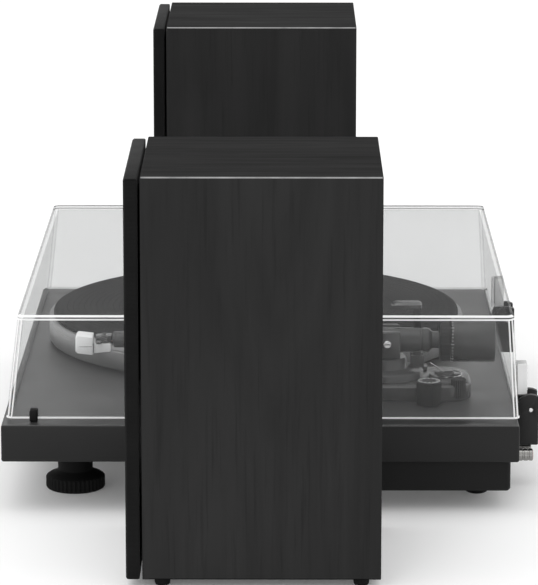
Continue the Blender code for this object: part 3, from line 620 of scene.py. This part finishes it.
edged("tonearm_base", 0.0006, 50.0)
edged("tonearm_yoke", 0.0005, 50.0)
YOKE_HALF = 0.0157
for side, sign in SIDES:
    bm = bmesh.new()
    end = pivot + Vector((sign * YOKE_HALF, 0.0, 0.0))
    rows = ((0.0, 0.5), (2.2, 0.5), (2.6, 0.1), (2.6, -0.4), (0.0, -0.4))
    spin(bm, [(r * MM, z * MM * sign) for r, z in rows], end, "X", 32)
    piece("pivot_screw_" + side, bm, STEEL, "yoke_body")
    bm = bmesh.new()
    block(bm, end + Vector((-0.0002, -0.0021, -0.0003)), end + Vector((0.0002, 0.0021, 0.0003)))
    for v in bm.verts:
        v.co.x += sign * 0.00052
    piece("pivot_slot_" + side, bm, BLACK, "yoke_body")

arm_rows = (
    (0.0, 46.0), (5.3, 46.0), (5.7, 45.6), (5.7, 40.0), (5.4, 39.6), (5.4, 38.4), (5.7, 38.0),
    (5.7, 31.0), (6.9, 30.2), (8.0, 29.0), (8.4, 27.6), (8.4, 24.5), (8.0, 24.1), (8.0, 22.9),
    (8.4, 22.5), (8.4, -9.4), (7.9, -10.8), (6.4, -11.8), (5.0, -12.6), (4.75, -14.0),
    (4.75, -170.0), (4.75, -176.0), (4.7, -186.0), (4.2, -187.8), (0.0, -188.0),
)
turned("arm_tube", arm_rows, pivot, GLOSS, "arm_body", "Y", ("tonearm_tube",), steps=56)
turned("headshell_collar", (
    (4.0, -178.2), (5.5, -178.5), (5.6, -179.0), (5.6, -186.2), (5.2, -187.0), (4.0, -187.4),
), pivot, WEIGHT, "arm_body", "Y", steps=48, closed=True)

low, high, mid = box_of("headshell")
bm = bmesh.new()
# Distance along the shell, half width and height, in millimetres.
plate = [(-0.2, 4.4, 4.2), (-2.6, 6.3, 4.0), (-7.0, 6.4, 3.7), (-10.9, 6.4, 3.4)]
loops = []
for along, width, tall in plate:
    y = high.y + along * MM
    loops.append([(axis_x + sx * width * MM, y, low.z + h * MM)
                  for sx, h in ((-1, 0.3), (-0.85, 0.0), (0.85, 0.0), (1, 0.3), (1, tall - 0.7),
                                (0.8, tall), (-0.8, tall), (-1, tall - 0.7))])
skin(bm, loops)
block(bm, (axis_x + 0.0055, low.y + 0.0012, low.z + 0.0008),
      (high.x, low.y + 0.0048, low.z + 0.0020), 0.0004)
piece("headshell_plate", bm, GLOSS, "arm_body", ("headshell",))
bm = bmesh.new()
for sx in (-1, 1):
    spin(bm, ((0.0, 0.0011), (0.0010, 0.0011), (0.0013, 0.0007), (0.0013, -0.001), (0.0, -0.001)),
         Vector((axis_x + sx * 0.0038, low.y + 0.0058, low.z + 0.0034)), "Z", 20)
piece("cartridge_screws", bm, WEIGHT, "arm_body")
refined("cartridge", 0.0005, WHITE, segments=2, angle=35.0)
low, high, mid = box_of("cartridge")
bm = bmesh.new()
for half, y0, y1, z0, z1 in ((0.0078, 0.01215, 0.0126, 0.0022, 0.0086),
                             (0.0083, 0.0030, 0.0112, 0.0064, 0.0067)):
    block(bm, (mid.x - half, low.y + y0, low.z + z0), (mid.x + half, low.y + y1, low.z + z1))
piece("cartridge_joints", bm, MID, "arm_body")
for k, shift in enumerate((-3.6, -1.2, 1.2, 3.6)):
    x, back = axis_x + shift * MM, high.y
    wire(f"cartridge_lead_{k}", (
        (x, back - 0.0004, mid.z + 0.0012), (x, back + 0.0016, mid.z + 0.0016),
        (x * 0.5 + axis_x * 0.5, back + 0.0036, mid.z + 0.0026),
        (axis_x + shift * 0.4 * MM, back + 0.0060, mid.z + 0.0038),
    ), 0.00035, (PALE, RED, MID, BLACK)[k], "arm_body", 8)

turned("counterweight_body", (
    (6.0, 74.0), (10.6, 74.0), (11.0, 73.6), (11.6, 73.6), (12.0, 74.0), (14.0, 74.0), (14.7, 73.7),
    (15.0, 73.0), (15.0, 45.2), (14.6, 44.2), (13.8, 43.8), (6.0, 43.8),
), pivot, WEIGHT, "counterweight_body", "Y", ("counterweight",), steps=72, closed=True)
turned("force_ring_body_shell", (
    (6.0, 43.4), (13.6, 43.4), (14.4, 43.1), (14.6, 42.6, True), (14.6, 37.0, True), (14.2, 36.2),
    (13.4, 36.0), (6.0, 36.0),
), pivot, BLACK, "force_ring_body", "Y", ("tracking_force_ring",), closed=True, ribs=32,
    depth=0.35)
SCALE_Y, SCALE_R = 0.0446, 0.01501
bm = bmesh.new()
for k, turn in enumerate(turns(pivot, "Y", 40)):
    reach = 0.0022 if k % 5 == 0 else 0.0012
    mark(bm, turn, (0.0, SCALE_Y, SCALE_R), (0.0004, reach, 0.00012))
piece("force_scale_marks", bm, PALE, "counterweight_body")

low, high, mid = box_of("anti_skate_dial")
dial = Vector((mid.x, mid.y, low.z))
tall = (high.z - low.z) / MM
turned("anti_skate_knob", (
    (0.0, tall), (6.6, tall), (7.6, tall - 0.2), (8.2, tall - 0.9), (8.4, tall - 1.4, True),
    (8.4, 1.0, True), (7.9, 0.0), (0.0, 0.0),
), dial, BLACK, "anti_skate_body", stands_for=("anti_skate_dial",), ribs=36, depth=0.45)
bm = bmesh.new()
rows = ((6.9, 0.10), (7.35, 0.10), (7.35, -0.1), (6.9, -0.1))
spin(bm, [(r * MM, (tall + h) * MM) for r, h in rows], dial, "Z", 72, True)
for turn in turns(dial, "Z", 12):
    mark(bm, turn, (0.0058, 0.0, tall * MM), (0.0018, 0.0007, 0.0002))
piece("anti_skate_scale", bm, PALE, "anti_skate_body")

refined("arm_rest", 0.0004, BLACK)
refined("arm_clip", 0.0004, BLACK)
edged("cue_lever", 0.0006, 45.0)
refined("cue_lift", 0.0003, STEEL, segments=1)

# The rear of the arm base: bright rim on the drum, ribbed lock and the bias rod.
rear_drum = Vector((axis_x + 0.012, pivot.y + 0.040, 0.0))
turned("drum_rim", ((10.6, 73.75), (11.15, 73.6), (11.25, 73.1), (11.1, 72.6), (10.6, 72.9)),
       rear_drum, STEEL, "base", steps=72, closed=True)
turned("drum_skirt", ((11.05, 73.2), (11.4, 72.0), (12.4, 70.6), (13.6, 70.0), (13.6, 69.7),
                      (11.05, 69.7)), rear_drum, GLOSS, "base", steps=72, closed=True)
lock = Vector((axis_x + 0.030, pivot.y + 0.048, 0.0))
turned("arm_lock_ribbed", ((0.0, 74.4), (4.2, 74.4), (4.9, 73.9), (5.2, 73.2, True),
                           (5.2, 62.0, True), (4.8, 61.2), (0.0, 61.2)), lock, BLACK, "base",
       ribs=24, depth=0.4)
wire("bias_rod", [(axis_x + 0.0145, pivot.y + y, z) for y, z in (
    (0.029, 0.0815), (0.0335, 0.0788), (0.0385, 0.0752))], 0.0006, STEEL, "base")

# ------------------------------------------------------------------ clear lid
low, high, mid = box_of("dust_cover")
hinge = Vector(JOINTS["lid_hinge"]["pos_m"])
LID_T = 0.003
# Half width, front, rear and height of the lid at its rim (low) and at its top plate.
half_low, half_top = high.x, high.x - 0.0105
front_low, front_top = low.y, low.y + 0.0077
rear_low, rear_top = hinge.y - 0.011, hinge.y - 0.0151
z_low, z_top = 0.0614, high.z


LID_CORNER, SMALLEST_CORNER = 0.005, 0.0008


def lid_at(level):
    """Half width, front, rear and height of the leaning walls, at a level from 0 to 1."""
    return (half_low + (half_top - half_low) * level,
            front_low + (front_top - front_low) * level,
            rear_low + (rear_top - rear_low) * level,
            z_low + (z_top - z_low) * level)


def lid_loop(level, inset, z=None):
    """The outline of the lid at a level, moved inwards, at that level's height or at z."""
    w, y0, y1, own_z = lid_at(level)
    return rounded(inset - w, w - inset, y0 + inset, y1 - inset, own_z if z is None else z,
                   max(LID_CORNER - inset, SMALLEST_CORNER), 6)


bm = bmesh.new()
skin(bm, [
    lid_loop(1.0, LID_T + 0.0012, z_top - LID_T),
    lid_loop(0.975, LID_T + 0.0002, z_top - LID_T - 0.0008),
    lid_loop(0.93, LID_T, z_top - LID_T - 0.0030), lid_loop(0.0, LID_T),
    lid_loop(0.0, 0.0), lid_loop(0.96, 0.0, z_top - 0.0022),
    lid_loop(0.985, 0.0003, z_top - 0.0009), lid_loop(1.0, 0.0012, z_top),
])
piece("lid_shell", bm, LID_CLEAR, "lid_body", ("dust_cover",), smooth=50.0)


END_ZONE = 0.004


def edge_band(name, loops):
    """A line round the lid: a painted highlight at its two ends, and softer clear acrylic along
    front and rear.
    """
    band = piece(name, skin(bmesh.new(), loops, closed=True), [LID_EDGE_HIGHLIGHT, LID_SOFT], "lid_body",
                 smooth=60.0)
    for face in band.data.polygons:
        face.material_index = 0 if abs(face.center.x) > half_top - END_ZONE else 1


edge_band("lid_edge_top", [
    lid_loop(1.0, 0.0012, z_top + 0.00005), lid_loop(0.985, 0.0001, z_top - 0.0006),
    lid_loop(0.975, -0.0001, z_top - 0.0012), lid_loop(0.975, 0.0006, z_top - 0.0012),
    lid_loop(1.0, 0.0020, z_top - 0.0001),
])
edge_band("lid_edge_glue", [
    lid_loop(0.957, -0.0001, z_top - 0.0023), lid_loop(0.945, -0.0001, z_top - 0.0032),
    lid_loop(0.945, 0.0010, z_top - 0.0032), lid_loop(0.957, 0.0010, z_top - 0.0023),
])
edge_band("lid_edge_rim", [
    lid_loop(0.0, -0.0001, z_low - 0.0001), lid_loop(0.015, -0.0001, z_low + 0.0010),
    lid_loop(0.015, 0.0008, z_low + 0.0010), lid_loop(0.0, LID_T - 0.0002, z_low - 0.0001),
])
# Along each upright corner: one line on the outside and one where the walls meet inside; the right
# ones carry the painted highlight, the left ones the softer acrylic.
for label, ex, at_rear in (("front_left", -1, False), ("front_right", 1, False),
                           ("rear_left", -1, True), ("rear_right", 1, True)):
    inward = -1 if at_rear else 1
    for line, offset in (("outer", 0.0), ("inner", LID_T)):
        path = []
        for level in (0.0, 0.25, 0.5, 0.75, 0.96):
            w, y0, y1, z = lid_at(level)
            wall = y1 if at_rear else y0
            path.append((ex * (w - 0.0004), wall + inward * (0.0006 + offset), z))
        if line == "outer":
            path = [(x - ex * 0.0012, y + inward * 0.0008, z) for x, y, z in path]
        wire(f"lid_corner_{label}_{line}", path, 0.00055, LID_EDGE_HIGHLIGHT if ex > 0 else LID_SOFT,
             "lid_body", 8)

# The clear sockets that the hinge arms slide into, and the hinges themselves.
SOCKET_HALF, FLANGE_HALF = 0.006, 0.0085        # half widths
SOCKET_FOOT, NECK_TOP, SOCKET_TOP = 0.0616, 0.0640, 0.0845
SOCKET_STOP = 0.0022                            # it ends this far short of the hinge axis
KNUCKLE = ((0.0, 0.006), (0.0046, 0.006), (0.0050, 0.0056), (0.0050, -0.0056), (0.0046, -0.006),
           (0.0, -0.006))
LOUVRES, LOUVRE_FOOT, LOUVRE_PITCH = 5, 0.0660, 0.0036
RIBS, RIB_FOOT, RIB_PITCH = 4, 0.0330, 0.0055
for side, _ in SIDES:
    hinge_low, hinge_high, hinge_mid = box_of("hinge_base_" + side)
    x = hinge_mid.x
    stop = hinge.y - SOCKET_STOP
    bm = bmesh.new()
    block(bm, (x - SOCKET_HALF, rear_low - 0.0003, SOCKET_FOOT),
          (x + SOCKET_HALF, stop, SOCKET_TOP), 0.0012, 3)
    block(bm, (x - FLANGE_HALF, rear_low - 0.0002, NECK_TOP),
          (x + FLANGE_HALF, rear_low + 0.0016, 0.0828), 0.0006)
    spin(bm, KNUCKLE, Vector((x, hinge.y, hinge.z)), "X", 40)
    block(bm, (x - SOCKET_HALF, hinge.y - 0.006, hinge.z + 0.001),
          (x + SOCKET_HALF, stop, NECK_TOP), 0.0006)
    piece("lid_socket_" + side, bm, LID_BLOCK, "lid_body")
    # The socket's louvres and side ribs take the painted highlight colour.
    bm = bmesh.new()
    for k in range(LOUVRES):
        z = LOUVRE_FOOT + k * LOUVRE_PITCH
        block(bm, (x - 0.0052, hinge.y - 0.0052, z), (x + 0.0052, hinge.y - 0.0020, z + 0.0007),
              0.0001, 1)
    for sx in (-1, 1):
        block(bm, (x + sx * 0.0057 - 0.0004, hinge.y - 0.0090, 0.0630),
              (x + sx * 0.0057 + 0.0004, hinge.y - 0.0024, 0.0842), 0.0002, 1)
    piece("lid_socket_ribs_" + side, bm, LID_EDGE_HIGHLIGHT, "lid_body")
    refined("hinge_base_" + side, 0.0006, BLACK, segments=2, angle=50.0)
    low, high, mid = box_of("hinge_pin_" + side)
    reach = (high.x - low.x) / 2 / MM
    turned("hinge_pin_" + side + "_turned", (
        (0.0, reach), (1.1, reach), (1.5, reach - 0.4), (1.5, 0.4 - reach), (1.1, -reach),
        (0.0, -reach),
    ), mid, STEEL, "base", "X", ("hinge_pin_" + side,), steps=32)
    bm = bmesh.new()
    for k in range(RIBS):
        z = RIB_FOOT + k * RIB_PITCH
        block(bm, (hinge_low.x + 0.004, hinge_high.y - 0.0002, z),
              (hinge_high.x - 0.004, hinge_high.y + 0.0003, z + 0.0016), 0.0002, 1)
    piece("hinge_ribs_" + side, bm, BLACK, "base")
refined("lid_bumper", 0.0003, RUBBER, segments=1)

# ------------------------------------------------------------------ controls and rear sockets
low, high, mid = box_of("volume_knob")
knob = Vector((mid.x, mid.y, low.z))
tall = (high.z - low.z) / MM
turned("volume_knob_ribbed", (
    (0.0, tall), (11.4, tall), (12.6, tall - 0.5), (13.2, tall - 1.4, True), (13.6, 9.4, True),
    (2.9, 9.4), (2.9, 0.0), (0.0, 0.0),
), knob, BLACK, "volume_body", stands_for=("volume_knob",), ribs=40, depth=0.4)
POINTER_SUNK, POINTER_PROUD = 0.0003, 0.00015
bm = bmesh.new()
block(bm, (mid.x - 0.0005, mid.y - 0.0118, high.z - POINTER_SUNK),
      (mid.x + 0.0005, mid.y - 0.0060, high.z + POINTER_PROUD))
piece("volume_pointer", bm, PALE, "volume_body")
refined("speed_selector", 0.0005, BLACK, segments=2, angle=50.0)
low, high, mid = box_of("speed_selector")
bm = bmesh.new()
block(bm, (mid.x - 0.0112, mid.y - 0.0004, high.z - POINTER_SUNK),
      (mid.x - 0.0060, mid.y + 0.0004, high.z + POINTER_PROUD))
piece("speed_pointer", bm, PALE, "speed_body")
deck_z = box_of("plinth")[1].z
for name, centre, first, step, count, reach in (
        ("volume_ticks", knob, -240.0, 30.0, 11, 0.0162),
        ("speed_ticks", mid, 120.0, 60.0, 3, 0.0158)):
    bm = bmesh.new()
    for k in range(count):
        a = math.radians(first + k * step)
        turn = Matrix.Translation((centre.x, centre.y, deck_z)) @ Matrix.Rotation(a, 4, "Z")
        mark(bm, turn, (reach, 0.0, 0.0), (0.0016, 0.0005, 0.0002))
    piece(name, bm, PALE, "base")

for i, ring in ((1, RED), (2, WHITE)):
    node = f"line_jack_{i}"
    low, high, mid = box_of(node)
    start = Vector((mid.x, low.y, mid.z))
    turned(node + "_barrel", (
        (0.0, 16.0), (1.7, 16.0), (1.7, 28.4), (2.2, 28.8), (3.8, 28.8), (4.2, 28.4), (4.2, 26.6),
        (3.9, 26.3), (3.9, 25.5), (4.2, 25.2), (4.2, 23.0), (3.9, 22.7), (3.9, 21.9), (4.2, 21.6),
        (4.2, 19.4), (3.9, 19.1), (3.9, 18.3), (4.2, 18.0), (4.2, 12.4), (6.0, 12.4), (6.0, 10.6),
        (3.2, 10.6), (3.2, 0.0), (0.0, 0.0),
    ), start, NICKEL, "base", "Y", (node,), steps=40)
    turned(node + "_insert", (
        (1.0, 28.2), (3.0, 28.95), (3.3, 28.95), (3.3, 28.0), (1.0, 27.6),
    ), start, ring, "base", "Y", steps=40, closed=True)
refined("power_switch", 0.0003, BLACK)

# ------------------------------------------------------------------ CAD nodes that stay as they are
INLET_LENGTH = 0.030
CIRCUIT = circuit("circuit_board", box_of("circuit_board")[1].y - INLET_LENGTH)
KEPT = {
    "bearing_housing": STEEL, "motor": BASKET, "motor_pulley": NICKEL, "drive_belt": RUBBER,
    "circuit_board": CIRCUIT,
}
for side, _ in SIDES:
    KEPT.update({f"speaker_{side}_baffle": BLACK, f"speaker_{side}_woofer_frame": BASKET,
                 f"speaker_{side}_woofer_cone": PAPER, f"speaker_{side}_tweeter": PAPER})
for node, material in KEPT.items():
    kept = frame["nodes"][node].data
    kept.materials.clear()
    kept.materials.append(material)

# ------------------------------------------------------------------ floor and light
floor_tree = Tree("pale_floor")
floor_tree.set(Emission_Color=grey(1.0), Emission_Strength=0.10,
               Base_Color=floor_tree.blend(floor_tree.noise(3.0), grey(0.90), grey(0.92)),
               Roughness=0.9, Specular_IOR_Level=0.0)
bm = bmesh.new()
bmesh.ops.create_grid(bm, x_segments=4, y_segments=4, size=40.0)
mesh = bpy.data.meshes.new("floor")
bm.to_mesh(mesh)
bm.free()
mesh.materials.append(floor_tree.mat)
floor = bpy.data.objects.new("floor", mesh)
scene.collection.objects.link(floor)

world = bpy.data.worlds.new("studio")
world.use_nodes = True
world.node_tree.nodes["Background"].inputs["Color"].default_value = (1.0, 1.0, 1.0, 1.0)
world.node_tree.nodes["Background"].inputs["Strength"].default_value = 1.0
scene.world = world
scene.view_settings.view_transform = "Standard"


def soft_light(name, at, target, size, watts):
    data = bpy.data.lights.new(name, "AREA")
    data.shape = "RECTANGLE"
    data.size, data.size_y = size
    data.energy = watts
    obj = bpy.data.objects.new(name, data)
    obj.location = at
    obj.rotation_euler = (Vector(target) - Vector(at)).to_track_quat("-Z", "Y").to_euler()
    obj.visible_camera = False
    scene.collection.objects.link(obj)


soft_light("camera_side", (4.6, -1.6, 1.9), (0.1, -0.05, 0.05), (1.6, 1.6), 26.0)
soft_light("overhead", (0.6, -0.6, 2.6), (0.0, 0.0, 0.1), (2.4, 2.4), 16.0)
